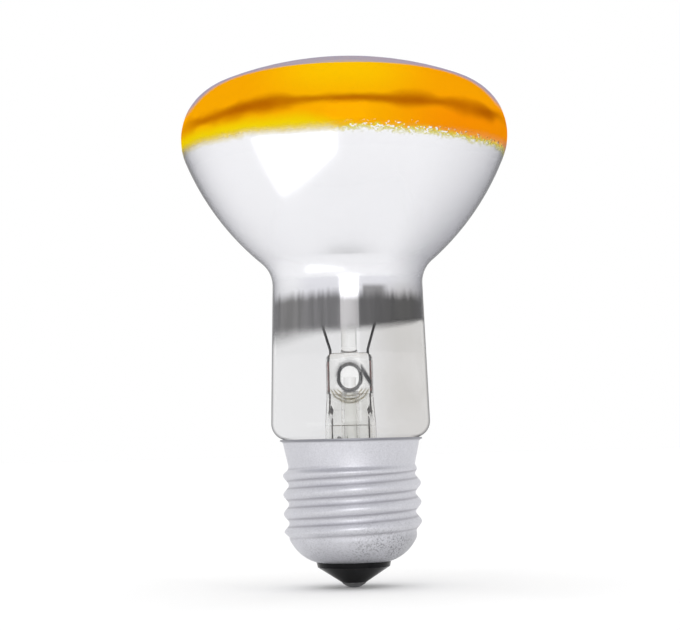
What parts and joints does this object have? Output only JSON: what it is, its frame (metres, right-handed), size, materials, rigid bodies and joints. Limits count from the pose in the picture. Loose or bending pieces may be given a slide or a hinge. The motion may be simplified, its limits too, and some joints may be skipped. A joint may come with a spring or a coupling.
{
  "type": "reflector bulb",
  "caption": "Reflector lamp bulb: blown envelope with a silvered cone and amber face, clear neck showing the glass stem, and a rolled screw cap with a black insulator.",
  "frame": {"origin": "centre of the tip of the centre contact, the lowest point of the lamp", "axes": "+Z along the lamp's axis from the contact to the face; +X and -X are the sides of the two leads; the picture looks along +Y"},
  "size_m": [0.063, 0.063, 0.1009],
  "materials": {
    "bulb_glass": "clear at the neck, mirrored inside the cone, amber lacquer over the face",
    "stem_glass": "clear lead glass",
    "molybdenum": "drawn wire",
    "nickel_wire": "drawn wire, dulled by heat",
    "copper_clad_wire": "borated red copper",
    "copper_wire": "dull copper wire",
    "tungsten": "coiled wire",
    "cap_aluminium": "satin, lightly scuffed",
    "black_glass": "glossy black",
    "contact_brass": "tinned brass",
    "solder": "dull solder",
    "cement": "fired basing cement"
  },
  "bodies": {
    "root": {"glass_bulb": "bulb_glass", "stem_glass": "stem_glass", "exhaust_tube": "stem_glass", "arbor_rod": "stem_glass", "support_wire_1": "molybdenum", "support_wire_2": "molybdenum", "support_wire_3": "molybdenum", "inner_lead_left": "nickel_wire", "inner_lead_right": "nickel_wire", "seal_wire_left": "copper_clad_wire", "seal_wire_right": "copper_clad_wire", "outer_lead_centre": "copper_wire", "outer_lead_side": "copper_wire", "fuse_wire": "nickel_wire", "filament": "tungsten", "cap_shell": "cap_aluminium", "cap_insulator": "black_glass", "contact_eyelet": "contact_brass", "centre_solder": "solder", "basing_cement": "cement", "side_solder": "solder"}
  },
  "joints": []
}
